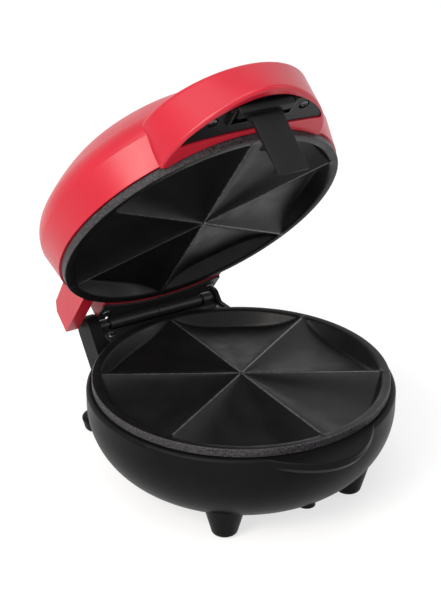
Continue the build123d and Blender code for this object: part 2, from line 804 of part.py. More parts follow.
handle_screw = pan_screw(small_screw, 9, 3.4, 1.6)
with BuildPart() as handle_screws:
    with Locations(
        facing_down(insert_screw[0], insert_screw[1], screw_seat),
        facing_down(-insert_screw[0], insert_screw[1], screw_seat),
        facing_down(0, latch_pivot[0] - 1, roof_height),
    ):
        add(handle_screw)

with BuildPart() as latch_pin:
    with Locations((0, latch_pivot[0], latch_pivot[1])):
        Cylinder(latch_pin_radius, 2 * cheek_outer, rotation=(0, 90, 0))

# ---- latch: a broad head on the pin, a long strap and two hooks on its inner side ----
strap_back = strap_front + strap_wall
hook_tip = -ledge_reach + catch_bevel + hook_bite
with BuildPart() as latch:
    with BuildSketch(Plane.YZ.offset(-head_half_width)):
        with BuildLine():
            Polyline(
                (head_front, head_bottom),
                (head_front, head_top - 3),
                (head_front + 4, head_top),
                (strap_back, head_top),
                (strap_back, head_bottom),
                (head_front, head_bottom),
            )
        make_face()
    extrude(amount=2 * head_half_width)
    fillet(latch.edges().filter_by(Axis.X), 1.2)
    with BuildSketch(Plane.YZ.offset(-strap_half_width)):
        with BuildLine():
            Polyline(
                (strap_front, head_bottom + 2),
                (strap_front, 2 - strap_drop),
                (strap_front - 1, 1 - strap_drop),
                (strap_front - 1, -strap_drop),
                (strap_back, -strap_drop),
                (strap_back, head_bottom + 2),
                (strap_front, head_bottom + 2),
            )
        make_face()
    extrude(amount=2 * strap_half_width)
    for hook_top, hook_end in ((ledge_bottom - 0.4, hook_tip), (5 + ledge_bottom - 25, hook_tip - 1.5)):
        with BuildSketch(Plane.YZ.offset(2 - strap_half_width)):
            with BuildLine():
                Polyline(
                    (strap_back - 1, hook_top),
                    (hook_end, hook_top),
                    (hook_end, hook_top - 1.2),
                    (strap_back - 1, hook_top - 7),
                    (strap_back - 1, hook_top),
                )
            make_face()
        extrude(amount=2 * strap_half_width - 4)
    with Locations((0, latch_pivot[0], latch_pivot[1])):
        Cylinder(latch_pin_radius + pin_fit, 4 * head_half_width, rotation=(0, 90, 0), mode=Mode.SUBTRACT)

# ---- stand the base on the floor, swing the lid open and write every piece ----
standing = Pos(0, box_shift, meeting_height)
swing = Pos(0, hinge_back, -hinge_drop) * Rot(-lid_open, 0, 0) * Pos(0, -hinge_back, hinge_drop)
base_pieces = {
    "base_housing": base_housing,
    "foot_pads": foot_pads,
    "base_cover": base_cover,
    "cover_screws": cover_screws,
    "cord_gland": cord_gland,
    "terminal_block": terminal_block,
    "lower_plate": lower_plate,
    "lower_plate_screws": lower_plate_screws,
    "lower_element": lower_element,
    "lower_reflector": lower_reflector,
    "thermostat": thermostat,
    "thermal_fuse": thermal_fuse,
    "hinge_bracket": hinge_bracket,
    "hinge_base_screws": hinge_base_screws,
    "hinge_pin": hinge_pin,
}
lid_pieces = {
    "lid_shell": lid_shell,
    "upper_plate": upper_plate,
    "upper_plate_screws": upper_plate_screws,
    "upper_element": upper_element,
    "upper_reflector": upper_reflector,
    "lid_hinge_leaf": lid_hinge_leaf,
    "hinge_lid_screws": hinge_lid_screws,
    "handle_insert": handle_insert,
    "handle_screws": handle_screws,
    "latch_pin": latch_pin,
    "latch": latch,
    "power_lens": power_lens,
    "ready_lens": ready_lens,
    "indicator_lamps": indicator_lamps,
    "lamp_plate": lamp_plate,
}
os.makedirs("parts", exist_ok=True)
for pieces, place in ((base_pieces, standing), (lid_pieces, standing * swing)):
    for name, piece in pieces.items():
        finished = piece.part.moved(place)
        finished.label = name
        export_step(finished, f"parts/{name}.step")
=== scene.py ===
"""Finishes, cooking plates, latch, small fittings, studio and camera of the quesadilla maker.

The scene is in metres, +Z up. Pieces are drawn in millimetres in the closed cooker's own frame,
whose origin is the middle of the face where the two plates meet, and are then set down where
their body stands at rest, with the lid open.
"""

from math import asin, cos, pi, radians, sin, tan, tau

import bmesh
import bpy
from mathutils import Matrix, Vector


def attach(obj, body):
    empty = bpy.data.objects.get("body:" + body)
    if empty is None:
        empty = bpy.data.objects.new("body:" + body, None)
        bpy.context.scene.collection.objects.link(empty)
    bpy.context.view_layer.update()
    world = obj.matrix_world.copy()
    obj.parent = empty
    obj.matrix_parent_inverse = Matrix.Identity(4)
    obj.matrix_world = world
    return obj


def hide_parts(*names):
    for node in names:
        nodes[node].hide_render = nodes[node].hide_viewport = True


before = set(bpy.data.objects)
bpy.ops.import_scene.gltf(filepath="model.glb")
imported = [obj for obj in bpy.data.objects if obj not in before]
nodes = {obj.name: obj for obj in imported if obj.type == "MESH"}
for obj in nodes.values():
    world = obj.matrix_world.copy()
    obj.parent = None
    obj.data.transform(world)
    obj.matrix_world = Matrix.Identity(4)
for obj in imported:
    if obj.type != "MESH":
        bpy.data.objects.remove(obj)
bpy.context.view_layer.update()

# ---------------------------------------------------------------- places
MM, MICRON = 0.001, 0.000001
LID_OPEN = radians(52)
HINGE_PIN = Vector((0, 128.5, -4.7))
MEETING_FACE = Vector((0, -0.012859, 0.085))  # its middle in the scene, in metres
STANDING = Matrix.Translation(MEETING_FACE) @ Matrix.Scale(MM, 4)
SWUNG = (
    STANDING
    @ Matrix.Translation(HINGE_PIN)
    @ Matrix.Rotation(-LID_OPEN, 4, "X")
    @ Matrix.Translation(-HINGE_PIN)
)
PLACE = {"base": STANDING, "lid": SWUNG, "latch": SWUNG}
UP, DOWN = Vector((0, 0, 1)), Vector((0, 0, -1))


# ---------------------------------------------------------------- finishes
COAT_ROUGHNESS = 0.29
CLOUD_LOW, CLOUD_HIGH = 0.3, 0.7  # between these a cloud pattern has most of its values
SHARE, UNDER, OVER, BLEND = 0, 6, 7, 2  # a colour Mix node's three inputs and its output


class Finish:
    """One material, built node by node round its Principled shader."""

    def __init__(self, name, colour, roughness, metallic=0.0, coat=0.0, shine=0.5):
        self.material = bpy.data.materials.new(name)
        self.material.use_nodes = True
        self.tree = self.material.node_tree
        self.shader = self.tree.nodes["Principled BSDF"]
        self.colour = (*colour, 1.0)
        self.set("Base Color", self.colour)
        self.set("Roughness", roughness)
        self.set("Metallic", metallic)
        self.set("Coat Weight", coat)
        self.set("Coat Roughness", COAT_ROUGHNESS)
        self.set("Specular IOR Level", shine)
        self.place = self.tree.nodes.new("ShaderNodeTexCoord").outputs["Object"]
        self.paint = None
        self.surface = None

    def set(self, socket, value):
        self.shader.inputs[socket].default_value = value

    def link(self, source, target):
        self.tree.links.new(source, target)

    def made_in(self, body):
        """Reads the pattern in the closed cooker's frame, so that it turns with the lid."""
        origin = PLACE[body] @ Vector((0, 0, 0))
        turn = PLACE[body].to_euler()
        mapping = self.tree.nodes.new("ShaderNodeMapping")
        mapping.vector_type = "TEXTURE"
        mapping.inputs["Location"].default_value = origin
        mapping.inputs["Rotation"].default_value = turn
        self.link(self.place, mapping.inputs["Vector"])
        self.place = mapping.outputs["Vector"]
        return self

    def _mapped(self, stretch):
        if stretch == (1, 1, 1):
            return self.place
        mapping = self.tree.nodes.new("ShaderNodeMapping")
        mapping.inputs["Scale"].default_value = stretch
        self.link(self.place, mapping.inputs["Vector"])
        return mapping.outputs["Vector"]

    def clouds(self, per_metre, detail=3.0, stretch=(1, 1, 1), uneven=0.5):
        """Noise with that many lumps to the metre."""
        noise = self.tree.nodes.new("ShaderNodeTexNoise")
        noise.inputs["Scale"].default_value = per_metre
        noise.inputs["Detail"].default_value = detail
        noise.inputs["Roughness"].default_value = uneven
        self.link(self._mapped(stretch), noise.inputs["Vector"])
        return noise.outputs["Fac"]

    def cells(self, per_metre):
        """Distance inside cells, that many to the metre."""
        cell = self.tree.nodes.new("ShaderNodeTexVoronoi")
        cell.inputs["Scale"].default_value = per_metre
        self.link(self.place, cell.inputs["Vector"])
        return cell.outputs["Distance"]

    def from_axis(self):
        """Distance from the upright axis of the frame that the pattern is read in."""
        flat = self.tree.nodes.new("ShaderNodeVectorMath")
        flat.operation = "MULTIPLY"
        flat.inputs[1].default_value = (1, 1, 0)
        self.link(self.place, flat.inputs[0])
        length = self.tree.nodes.new("ShaderNodeVectorMath")
        length.operation = "LENGTH"
        self.link(flat.outputs["Vector"], length.inputs[0])
        return length.outputs["Value"]

    def between(self, pattern, start, end, low=0.0, high=1.0):
        """The pattern's stretch from start to end, spread over low to high."""
        spread = self.tree.nodes.new("ShaderNodeMapRange")
        for name, value in (
            ("From Min", start), ("From Max", end), ("To Min", low), ("To Max", high)
        ):
            spread.inputs[name].default_value = value
        self.link(pattern, spread.inputs["Value"])
        return spread.outputs["Result"]

    def both(self, first, second):
        """Where one pattern and the other are both strong."""
        product = self.tree.nodes.new("ShaderNodeMath")
        product.operation = "MULTIPLY"
        self.link(first, product.inputs[0])
        self.link(second, product.inputs[1])
        return product.outputs[0]

    def tint(self, pattern, colour):
        """Lays another colour over the paint where the pattern is 1."""
        mix = self.tree.nodes.new("ShaderNodeMix")
        mix.data_type = "RGBA"
        mix.inputs[UNDER].default_value = self.colour
        if self.paint:
            self.link(self.paint, mix.inputs[UNDER])
        mix.inputs[OVER].default_value = (*colour, 1.0)
        self.link(pattern, mix.inputs[SHARE])
        self.paint = mix.outputs[BLEND]
        self.link(self.paint, self.shader.inputs["Base Color"])

    def gloss(self, pattern, low, high):
        """Lets the roughness wander between low and high."""
        spread = self.between(pattern, CLOUD_LOW, CLOUD_HIGH, low, high)
        self.link(spread, self.shader.inputs["Roughness"])

    def soften_edges(self, radius):
        """Rounds sharp edges to that radius, as a mould does."""
        bevel = self.tree.nodes.new("ShaderNodeBevel")
        bevel.inputs["Radius"].default_value = radius
        self.surface = bevel.outputs["Normal"]
        self.link(self.surface, self.shader.inputs["Normal"])

    def relief(self, pattern, height, strength=1.0):
        """Raises the surface by the pattern times a height in metres."""
        bump = self.tree.nodes.new("ShaderNodeBump")
        bump.inputs["Distance"].default_value = height
        bump.inputs["Strength"].default_value = strength
        self.link(pattern, bump.inputs["Height"])
        if self.surface:
            self.link(self.surface, bump.inputs["Normal"])
        self.surface = bump.outputs["Normal"]
        self.link(self.surface, self.shader.inputs["Normal"])


def moulded(name, colour, roughness, grain_height, coat=0.0, edge=0.4 * MM, shine=0.15):
    """Injection-moulded plastic: spark-eroded grain, faint flow clouds, handling marks."""
    finish = Finish(name, colour, roughness, coat=coat, shine=shine)
    if edge:
        finish.soften_edges(edge)
    flow = finish.between(finish.clouds(14), 0.45, 0.75)
    finish.tint(flow, tuple(min(1.0, c * 1.15 + 0.002) for c in colour))
    handling = finish.clouds(24, detail=4.0)
    finish.gloss(handling, roughness - 0.04, roughness + 0.06)
    grain = finish.clouds(2400, detail=2.0)
    finish.relief(grain, grain_height)
    ripple = finish.clouds(60, detail=2.0)
    finish.relief(ripple, grain_height * 2.0, strength=0.5)
    return finish.material


def drawn_metal(name, colour, roughness, along=(1, 1, 1), stain=None):
    """Bare or plated metal with draw lines along one axis and an optional stain."""
    finish = Finish(name, colour, roughness, metallic=1.0)
    finish.soften_edges(0.2 * MM)
    lines = finish.clouds(900, stretch=along)
    finish.gloss(lines, roughness - 0.07, roughness + 0.1)
    finish.relief(lines, 10 * MICRON)
    if stain:
        blotches = finish.clouds(45, detail=5.0, uneven=0.65)
        finish.tint(finish.between(blotches, 0.48, 0.7), stain)
    return finish.material


def nonstick_coat(name, body):
    """Sprayed non-stick coat on a casting, with scuffs and a painted grey sheen round the outside
    of its flange.
    """
    finish = Finish(name, (0.0062, 0.0062, 0.0066), 0.34, shine=0.16).made_in(body)
    finish.soften_edges(0.4 * MM)
    heat_marks = finish.between(finish.clouds(30), 0.42, 0.72)
    finish.tint(heat_marks, (0.0095, 0.0095, 0.010))
    flecks = finish.between(finish.cells(1500), 0.16, 0.05)
    finish.tint(flecks, (0.03, 0.03, 0.032))
    flange = finish.between(finish.from_axis(), 109.1 * MM, 109.6 * MM)
    # painted sheen: streaks on the flange's outer side are painted light grey to stand in for a
    # sheen, and are also raised in the bump as real scuffs
    flange_streaks = finish.clouds(1100, detail=5.0, stretch=(1, 1, 0.6), uneven=0.7)
    wear_and_painted_sheen = finish.between(flange_streaks, 0.40, 0.62)
    finish.tint(finish.both(flange, wear_and_painted_sheen), (0.085, 0.08, 0.088))
    handling = finish.clouds(70, detail=4.0)
    finish.gloss(handling, 0.29, 0.43)
    spray = finish.clouds(1100, detail=2.0)
    finish.relief(spray, 40 * MICRON)
    casting = finish.clouds(160, detail=2.0)
    finish.relief(casting, 50 * MICRON, strength=0.6)
    finish.relief(finish.both(flange, wear_and_painted_sheen), 120 * MICRON)
    return finish.material


def painted_crest_highlight(name):
    """The same coat along a ridge, glossier where it is polished, and painted lighter as the
    ridge's highlight line.
    """
    # painted highlight: the crest's colour and its lighter patches are far above the coat's, so
    # that the ridge reads as a bright line; its gloss is real polish
    finish = Finish(name, (0.03, 0.03, 0.031), 0.2, shine=0.7)
    highlight_patches = finish.between(finish.clouds(160), 0.3, 0.65)
    finish.tint(highlight_patches, (0.07, 0.07, 0.075))
    finish.gloss(finish.clouds(300), 0.16, 0.34)
    spray = finish.clouds(1100, detail=2.0)
    finish.relief(spray, 30 * MICRON)
    return finish.material


def hinge_paint():
    """Satin black paint on rolled steel, thin along its draw lines."""
    finish = Finish("hinge_paint", (0.02, 0.02, 0.021), 0.36, metallic=0.2, shine=0.35)
    finish.soften_edges(0.3 * MM)
    lines = finish.clouds(700, stretch=(0.04, 1, 1))
    finish.tint(finish.between(lines, 0.66, 0.8), (0.12, 0.12, 0.125))
    finish.gloss(lines, 0.29, 0.42)
    orange_peel = finish.clouds(1500, detail=2.0)
    finish.relief(orange_peel, 20 * MICRON)
    return finish.material


def dull_rubber(name, colour):
    """Moulded rubber with a dusty bloom."""
    finish = Finish(name, colour, 0.78, shine=0.15)
    bloom = finish.between(finish.clouds(220, detail=5.0), 0.5, 0.75)
    finish.tint(bloom, tuple(c * 1.8 for c in colour))
    finish.gloss(finish.clouds(90), 0.7, 0.88)
    finish.relief(finish.clouds(1800), 50 * MICRON)
    return finish.material


def fired_ceramic():
    """Unglazed steatite: chalky, faintly pitted."""
    finish = Finish("fired_ceramic", (0.74, 0.70, 0.60), 0.72)
    firing = finish.between(finish.clouds(260, detail=5.0), 0.5, 0.72)
    finish.tint(firing, (0.58, 0.53, 0.44))
    pits = finish.between(finish.cells(900), 0.0, 0.4)
    finish.relief(pits, 60 * MICRON)
    return finish.material


def clear_lens(name, colour):
    """Tinted clear plastic with a fine prism pattern under a polished face."""
    finish = Finish(name, colour, 0.14, coat=0.6)
    finish.set("Transmission Weight", 0.35)
    prisms = finish.cells(1400)
    finish.tint(finish.between(prisms, 0.0, 0.5), tuple(c * 0.55 for c in colour))
    finish.relief(prisms, 80 * MICRON)
    return finish.material


base_black = moulded(
    "base_black", (0.0046, 0.0046, 0.0049), 0.38, grain_height=30 * MICRON, shine=0.06
)
lid_red = moulded(
    "lid_red", (0.49, 0.009, 0.026), 0.33, grain_height=10 * MICRON, coat=0.08, edge=0, shine=0.35
)
trim_black = moulded(
    "trim_black", (0.0055, 0.0055, 0.0062), 0.33, grain_height=10 * MICRON, shine=0.16
)
latch_black = moulded(
    "latch_black", (0.0085, 0.0085, 0.0095), 0.44, grain_height=50 * MICRON, shine=0.12
)
lamp_white = moulded("lamp_plate_white", (0.55, 0.54, 0.50), 0.5, grain_height=20 * MICRON)
lower_coat = nonstick_coat("lower_nonstick", "base")
upper_coat = nonstick_coat("upper_nonstick", "lid")
# the ridge finish is a painted highlight along each crest
ridge_painted_highlight = painted_crest_highlight("ridge_nonstick_painted_highlight")
painted_hinge = hinge_paint()
foot_rubber = dull_rubber("foot_rubber", (0.014, 0.014, 0.014))
gland_rubber = dull_rubber("gland_rubber", (0.012, 0.012, 0.013))
ceramic = fired_ceramic()
heater_tube = drawn_metal("heater_tube", (0.20, 0.185, 0.17), 0.48, stain=(0.075, 0.055, 0.045))
bright_sheet = drawn_metal("bright_sheet", (0.78, 0.78, 0.79), 0.26, along=(0.06, 1, 1))
bright_pin = drawn_metal("bright_pin", (0.22, 0.22, 0.23), 0.32, along=(0.03, 1, 1))
black_zinc = drawn_metal("black_zinc", (0.11, 0.11, 0.115), 0.30, stain=(0.06, 0.06, 0.06))
dark_zinc = drawn_metal("dark_zinc", (0.30, 0.30, 0.31), 0.30, stain=(0.20, 0.195, 0.19))
plated_steel = drawn_metal("plated_steel", (0.55, 0.55, 0.54), 0.28, stain=(0.40, 0.37, 0.32))
red_lens = clear_lens("red_lens", (0.62, 0.012, 0.012))
green_lens = clear_lens("green_lens", (0.03, 0.36, 0.07))
lamp_glass = clear_lens("lamp_glass", (0.85, 0.62, 0.46))

FINISH_OF = {
    "base_housing": base_black,
    "base_cover": base_black,
    "foot_pads": foot_rubber,
    "cover_screws": dark_zinc,
    "cord_gland": gland_rubber,
    "terminal_block": ceramic,
    "lower_plate": lower_coat,
    "lower_plate_screws": dark_zinc,
    "lower_element": heater_tube,
    "lower_reflector": bright_sheet,
    "thermostat": plated_steel,
    "thermal_fuse": plated_steel,
    "hinge_bracket": painted_hinge,
    "hinge_base_screws": black_zinc,
    "hinge_pin": bright_pin,
    "lid_shell": lid_red,
    "upper_plate": upper_coat,
    "upper_plate_screws": dark_zinc,
    "upper_element": heater_tube,
    "upper_reflector": bright_sheet,
    "lid_hinge_leaf": painted_hinge,
    "hinge_lid_screws": black_zinc,
    "handle_insert": trim_black,
    "handle_screws": black_zinc,
    "latch_pin": bright_pin,
    "latch": latch_black,
    "power_lens": red_lens,
    "ready_lens": green_lens,
    "indicator_lamps": lamp_glass,
    "lamp_plate": lamp_white,
}
for node, finish in FINISH_OF.items():
    for holder in nodes[node].material_slots:
        holder.material = finish


# ---------------------------------------------------------------- jigs for repeated fittings
FITTING_CREASE = radians(34)  # sharper edges than this stay crisp
FROM, TO, DRAW = 2, 3, 1  # a Random Value node's two float inputs and its float output


class Jig:
    """A Geometry Nodes tree that turns up one fitting from named sizes and sets it out."""

    def __init__(self, name):
        self.tree = bpy.data.node_groups.new(name, "GeometryNodeTree")
        self.tree.is_modifier = True
        self._socket("Places", "NodeSocketGeometry")
        self._socket("Material", "NodeSocketMaterial")
        self._socket("Fittings", "NodeSocketGeometry", "OUTPUT")
        self.entry = self.tree.nodes.new("NodeGroupInput")
        self.exit = self.tree.nodes.new("NodeGroupOutput")

    def _socket(self, name, kind, way="INPUT"):
        return self.tree.interface.new_socket(name, in_out=way, socket_type=kind)

    def size(self, name, value):
        """A named size of the fitting, in metres."""
        self._socket(name, "NodeSocketFloat").default_value = value
        return self.entry.outputs[name]

    def step(self, kind, inputs=(), **settings):
        """Adds a node, sets or links its inputs by name or number, and gives the node back."""
        node = self.tree.nodes.new(kind)
        for name, value in settings.items():
            setattr(node, name, value)
        for name, value in dict(inputs).items():
            for source in value if isinstance(value, list) else [value]:
                if isinstance(source, bpy.types.NodeSocket):
                    self.tree.links.new(source, node.inputs[name])
                else:
                    node.inputs[name].default_value = source
        return node

    def sum(self, operation, first, second=0.0):
        result = self.step("ShaderNodeMath", {0: first, 1: second}, operation=operation)
        return result.outputs[0]

    def upright(self, height):
        """The point at that height over the seat."""
        return self.step("ShaderNodeCombineXYZ", {"Z": height}).outputs[0]

    def turned(self, foot, top, radius, rings, sides):
        """A closed turned shape from foot to top, whose radius is a field along it."""
        line = self.step("GeometryNodeCurvePrimitiveLine", {"Start": foot, "End": top})
        rungs = self.step(
            "GeometryNodeResampleCurve", {"Curve": line.outputs[0], "Count": rings}
        )
        ring = self.step(
            "GeometryNodeCurvePrimitiveCircle", {"Resolution": sides, "Radius": 1.0}
        )
        skin = self.step(
            "GeometryNodeCurveToMesh",
            {
                "Curve": rungs.outputs[0],
                "Profile Curve": ring.outputs[0],
                "Scale": radius,
                "Fill Caps": True,
            },
        )
        return skin.outputs[0]

    def along(self):
        """How far along the turned shape a ring is, from 0 to 1."""
        return self.step("GeometryNodeSplineParameter").outputs["Factor"]

    def set_out(self, pieces, seed):
        """Stands the fitting on each place, facing its way, and hands over a plain mesh."""
        fitting = self.step("GeometryNodeJoinGeometry", {"Geometry": pieces})
        facing = self.step(
            "GeometryNodeInputNamedAttribute", {"Name": "facing"}, data_type="FLOAT_VECTOR"
        )
        stood = self.step(
            "FunctionNodeAlignRotationToVector",
            {"Vector": facing.outputs["Attribute"]},
            axis="Z",
        )
        spin = self.step(
            "FunctionNodeAxisAngleToRotation", {"Axis": (0, 0, 1), "Angle": self.chance(seed)}
        )
        turn = self.step(
            "FunctionNodeRotateRotation",
            {"Rotation": stood.outputs[0], "Rotate By": spin.outputs[0]},
            rotation_space="LOCAL",
        )
        copies = self.step(
            "GeometryNodeInstanceOnPoints",
            {
                "Points": self.entry.outputs["Places"],
                "Instance": fitting.outputs[0],
                "Rotation": turn.outputs[0],
            },
        )
        solid = self.step("GeometryNodeRealizeInstances", {"Geometry": copies.outputs[0]})
        angle = self.step("GeometryNodeInputMeshEdgeAngle").outputs["Unsigned Angle"]
        crisp = self.step(
            "GeometryNodeSetShadeSmooth",
            {
                "Geometry": solid.outputs[0],
                "Selection": self.sum("GREATER_THAN", angle, FITTING_CREASE),
                "Shade Smooth": False,
            },
            domain="EDGE",
        )
        coated = self.step(
            "GeometryNodeSetMaterial",
            {"Geometry": crisp.outputs[0], "Material": self.entry.outputs["Material"]},
        )
        self.tree.links.new(coated.outputs[0], self.exit.inputs["Fittings"])
        return self

    def chance(self, seed):
        """A turn for each copy, always the same for the same seed."""
        node = self.tree.nodes.new("FunctionNodeRandomValue")
        node.data_type = "FLOAT"
        node.inputs[FROM].default_value = 0.0
        node.inputs[TO].default_value = pi
        node.inputs["Seed"].default_value = seed
        return node.outputs[DRAW]


def screw_jig():
    """A pan-head screw with a cross recess and a ringed shank."""
    jig = Jig("cross_head_screw")
    head_radius = jig.size("Head radius", 3.4 * MM)
    head_height = jig.size("Head height", 1.6 * MM)
    shank_radius = jig.size("Shank radius", 1.7 * MM)
    shank_length = jig.size("Shank length", 9 * MM)
    recess_width = jig.size("Recess width", 1.1 * MM)
    recess_depth = jig.size("Recess depth", 1.1 * MM)

    flank = 0.3  # the share of the head's height that stands straight
    per_dome = 1.43  # spreads the rest of the height over 0 to 1
    dome_fall = 0.74  # how much of its squared radius the head loses by the crown
    over_flank = jig.sum("MAXIMUM", jig.sum("SUBTRACT", jig.along(), flank))
    up_dome = jig.sum("MULTIPLY", over_flank, per_dome)
    fall = jig.sum("MULTIPLY", jig.sum("MULTIPLY", up_dome, up_dome), dome_fall)
    dome = jig.sum("SQRT", jig.sum("SUBTRACT", 1.0, fall))
    crown = jig.upright(head_height)
    profile = jig.sum("MULTIPLY", head_radius, dome)
    head = jig.turned(jig.upright(0.0), crown, profile, rings=9, sides=32)

    arm_share = 1.16  # a recess arm's length over the head's radius
    arm_length = jig.sum("MULTIPLY", head_radius, arm_share)
    both_sides = jig.sum("MULTIPLY", recess_depth, 2.0)  # the cutter is centred on the crown
    arms = []
    for length, width in ((arm_length, recess_width), (recess_width, arm_length)):
        extent = jig.step("ShaderNodeCombineXYZ", {"X": length, "Y": width, "Z": both_sides})
        block = jig.step("GeometryNodeMeshCube", {"Size": extent.outputs[0]})
        raised = jig.step(
            "GeometryNodeTransform", {"Geometry": block.outputs[0], "Translation": crown}
        )
        arms.append(raised.outputs[0])
    cut = jig.step(
        "GeometryNodeMeshBoolean", {"Mesh 1": head, "Mesh 2": arms}, operation="DIFFERENCE"
    )
    cut.solver = "EXACT"

    rib_phase = 88.0  # radians along the shank, for 14 ribs
    rib_height, rib_middle = 0.07, 0.93  # shares of the shank's radius
    wave = jig.sum("SINE", jig.sum("MULTIPLY", jig.along(), rib_phase))
    thread = jig.sum("MULTIPLY", wave, rib_height)
    ribbed = jig.sum("MULTIPLY", shank_radius, jig.sum("SUBTRACT", rib_middle, thread))
    tip = jig.upright(jig.sum("MULTIPLY", shank_length, -1.0))
    root = jig.upright(jig.sum("MULTIPLY", head_height, 0.25))  # inside the head
    shank = jig.turned(root, tip, ribbed, rings=57, sides=12)
    return jig.set_out([cut.outputs[0], shank], seed=7)


def pad_jig():
    """A round foot pad with raised rings on the face that it stands on."""
    jig = Jig("ringed_pad")
    radius = jig.size("Radius", 6.4 * MM)
    height = jig.size("Height", 3 * MM)
    bead = jig.size("Ring bead", 0.45 * MM)
    face = jig.upright(jig.sum("SUBTRACT", height, bead))
    pieces = [jig.turned(jig.upright(0.0), face, radius, rings=2, sides=48)]
    for share in (0.3, 0.58, 0.86):
        ring = jig.step(
            "GeometryNodeCurvePrimitiveCircle",
            {"Resolution": 48, "Radius": jig.sum("MULTIPLY", radius, share)},
        )
        profile = jig.step(
            "GeometryNodeCurvePrimitiveCircle", {"Resolution": 8, "Radius": bead}
        )
        rope = jig.step(
            "GeometryNodeCurveToMesh",
            {"Curve": ring.outputs[0], "Profile Curve": profile.outputs[0], "Scale": 1.0},
        )
        raised = jig.step(
            "GeometryNodeTransform", {"Geometry": rope.outputs[0], "Translation": face}
        )
        pieces.append(raised.outputs[0])
    return jig.set_out(pieces, seed=3)


def set_out(jig, name, node, body, seats, facing, finish, **sizes):
    """Runs a jig over seats given in millimetres, and puts the result in a CAD node's stead."""
    mesh = bpy.data.meshes.new(name + "_places")
    mesh.from_pydata([PLACE[body] @ Vector(seat) for seat in seats], [], [])
    way = (PLACE[body].to_3x3() @ facing).normalized()
    mesh.attributes.new("facing", "FLOAT_VECTOR", "POINT").data.foreach_set(
        "vector", list(way) * len(seats)
    )
    places = bpy.data.objects.new(name + "_places", mesh)
    bpy.context.scene.collection.objects.link(places)
    modifier = places.modifiers.new("jig", "NODES")
    modifier.node_group = jig.tree
    sockets = {item.name: item.identifier for item in jig.tree.interface.items_tree}
    modifier[sockets["Material"]] = finish
    for size, value in sizes.items():
        modifier[sockets[size.replace("_", " ").capitalize()]] = value * MM
    bpy.context.view_layer.update()
    made = places.evaluated_get(bpy.context.evaluated_depsgraph_get())
    piece = bpy.data.objects.new(name, bpy.data.meshes.new_from_object(made))
    bpy.context.scene.collection.objects.link(piece)
    bpy.data.objects.remove(places)
    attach(piece, body)
    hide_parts(node)


def round_axis(count, first, radius, height=0):
    """Seats spaced evenly round the cooker's axis, the first in the direction in degrees."""
    return [
        Matrix.Rotation(radians(first + 360 / count * n), 3, "Z") @ Vector((radius, 0, height))
        for n in range(count)
    ]


def at_height(seats, height):
    """The same seats at another height."""
    return [(seat[0], seat[1], height) for seat in seats]


# where the heads of the screws and the tops of the pads sit
boss_seats = round_axis(3, first=30, radius=88)
cover_seats = round_axis(4, first=0, radius=73, height=-71)
leaf_holes = [(-47, 113.5), (47, 113.5)]
handle_seats = [(36.6, -130, 10.23), (-36.6, -130, 10.23), (0, -141, 17.5)]
feet = [(side * x, y, -82) for x, y in ((54, -64.5), (62.5, 113)) for side in (-1, 1)]
LOWER_BOSS_END, UPPER_BOSS_END = -26.1, 23.4
BASE_LEAF_FACE, LID_LEAF_FACE = -6.4, -1.3

screw = screw_jig()
set_out(
    screw, "cover_screws_crossed", "cover_screws", "base", cover_seats, DOWN, dark_zinc,
    head_radius=3.2, head_height=2.0, shank_length=8,
)
set_out(
    screw, "lower_plate_screws_crossed", "lower_plate_screws", "base",
    at_height(boss_seats, LOWER_BOSS_END), DOWN, dark_zinc,
    head_radius=3.6, head_height=2.4, shank_length=12.8,
)
set_out(
    screw, "hinge_base_screws_crossed", "hinge_base_screws", "base",
    at_height(leaf_holes, BASE_LEAF_FACE), UP, black_zinc, shank_length=8.6,
)
set_out(
    screw, "hinge_lid_screws_crossed", "hinge_lid_screws", "lid",
    at_height(leaf_holes, LID_LEAF_FACE), DOWN, black_zinc, shank_length=8.6,
)
set_out(
    screw, "handle_screws_crossed", "handle_screws", "lid", handle_seats, DOWN, black_zinc,
)
set_out(
    screw, "upper_plate_screws_crossed", "upper_plate_screws", "lid",
    at_height(boss_seats, UPPER_BOSS_END), UP, dark_zinc,
    head_radius=3.6, head_height=2.4, shank_length=9.8,
)
set_out(pad_jig(), "ringed_foot_pads", "foot_pads", "base", feet, DOWN, foot_rubber)


# ---------------------------------------------------------------- cooking plates
WELL, HALF_WELL = pi / 3, pi / 6  # the six wells' share of a turn
RIM, FLANGE, FLANGE_HEIGHT = 104.0, 110.0, 6.0
LAND, CHAMFER = 1.0, 0.6  # the flat round the wells begins that far out; the flange's edge
RIDGE = 0.8  # half a ridge's width
CROWN = 0.3  # how far a ridge's two edges lie under its middle
APEX = RIDGE / sin(HALF_WELL)  # where a well's floor begins, from the plate's middle
NARROW = 0.49  # the most of a small ring's radius that half a ridge may take
WALL_SLOPE = 2.0  # depth for each millimetre in from the rim
DEEPEST = 12.0
FALL = DEEPEST / (RIM - DEEPEST / WALL_SLOPE - APEX)  # a floor's depth for each millimetre out
SKIN = 3.2  # the casting's thickness
FILLET = 2.0  # the depth over which floor and wall blend
ACROSS = 13  # strips from a well's middle to its ridge
CREST_STOPS = 4  # CREST_STOPS = 4 # rings between the end of a ridge's painted highlight and the rim
SEAM = 0.05  # each plate's share of the gap between them when the lid is shut
HUB_RINGS = [0.8, 1.6, 2.45, 3.0, 4.0, 5.2]
FLOOR_RINGS = [6.5 + 1.6 * step for step in range(49)]
WALL_RINGS = [84 + 0.5 * step for step in range(40)]
SEAT_INSIDE, SEAT_OUTSIDE, SEAT_TOP = 50.5, 65.5, 15.5
TUBE_CIRCLE, TUBE_LEVEL, TUBE_GROOVE = 58, 15.8, 3.5
GROOVE_TURNS = range(6, 175, 14)  # degrees round the tube, on the plate's side of it
HUB_BORE, HUB_BOSS = 0.4, 9.8
BORE, BOSS, BOSS_TOP = 1.7, 5, 19.3


